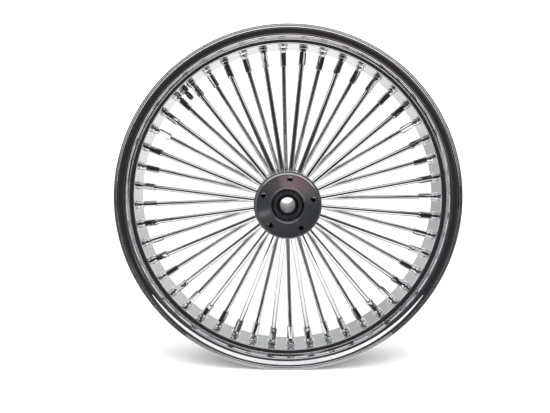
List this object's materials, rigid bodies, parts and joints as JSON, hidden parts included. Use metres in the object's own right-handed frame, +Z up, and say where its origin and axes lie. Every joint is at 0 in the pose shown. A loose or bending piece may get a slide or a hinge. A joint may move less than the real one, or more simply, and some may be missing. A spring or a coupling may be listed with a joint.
{
  "type": "spoked wheel",
  "caption": "Spoked motorcycle front wheel: drop-centre rim laced by thick radial spokes to a billet hub that spins on sealed bearings.",
  "frame": {"origin": "centre of the axle bore, on the middle plane of the rim", "axes": "+Y along the axle, away from the front face; +Z up; +X to the right when the front face is seen"},
  "size_m": [0.5634, 0.146, 0.5634],
  "materials": {
    "rim_chrome": "mirror chrome plating",
    "spoke_chrome": "mirror chrome plating",
    "nipple_chrome": "bright chrome plating",
    "hub_dark_chrome": "polished and plated, dark mirror",
    "bearing_steel": "ground",
    "ball_steel": "polished",
    "cage_brass": "satin",
    "seal_rubber": "matt",
    "spacer_steel": "turned",
    "band_rubber": "matt",
    "valve_metal": "dark plated",
    "valve_brass": "satin"
  },
  "bodies": {
    "axle_sleeve": {"spacer_tube": "spacer_steel", "front_inner_race": "bearing_steel", "rear_inner_race": "bearing_steel"},
    "wheel": {"rim": "rim_chrome", "rim_seal_band": "band_rubber", "hub": "hub_dark_chrome", "front_spokes": "spoke_chrome", "rear_spokes": "spoke_chrome", "front_nipples": "nipple_chrome", "rear_nipples": "nipple_chrome", "front_outer_race": "bearing_steel", "rear_outer_race": "bearing_steel", "front_outer_seal": "seal_rubber", "front_inner_seal": "seal_rubber", "rear_outer_seal": "seal_rubber", "rear_inner_seal": "seal_rubber", "valve_stem": "valve_metal", "valve_grommet": "band_rubber", "valve_washer": "valve_metal", "valve_nut": "valve_metal", "valve_core": "valve_brass"},
    "front_ball_set": {"front_balls": "ball_steel", "front_cage": "cage_brass"},
    "rear_ball_set": {"rear_balls": "ball_steel", "rear_cage": "cage_brass"},
    "valve_pin": {"valve_pin": "valve_brass"},
    "valve_cap": {"valve_cap": "valve_metal"}
  },
  "joints": [
    {"name": "wheel_spin", "type": "hinge", "parent": "axle_sleeve", "child": "wheel", "pos_m": [0, 0, 0], "axis": [0, 1, 0], "continuous": true},
    {"name": "front_balls_roll", "type": "hinge", "parent": "axle_sleeve", "child": "front_ball_set", "pos_m": [0, -0.0605, 0], "axis": [0, 1, 0], "continuous": true},
    {"name": "rear_balls_roll", "type": "hinge", "parent": "axle_sleeve", "child": "rear_ball_set", "pos_m": [0, 0.0605, 0], "axis": [0, 1, 0], "continuous": true},
    {"name": "valve_pin_press", "type": "slide", "parent": "wheel", "child": "valve_pin", "axis": [-0.6801, 0, 0.7331], "range_m": [0, 0.0015], "stiffness_N_per_m": 500, "springref_m": -0.002},
    {"name": "valve_cap_off", "type": "slide", "parent": "wheel", "child": "valve_cap", "axis": [0.6801, 0, -0.7331], "range_m": [0, 0.012]}
  ],
  "couplings": [
    {"joint": "front_balls_roll", "follows": "wheel_spin", "ratio": 0.6013},
    {"joint": "rear_balls_roll", "follows": "wheel_spin", "ratio": 0.6013}
  ]
}
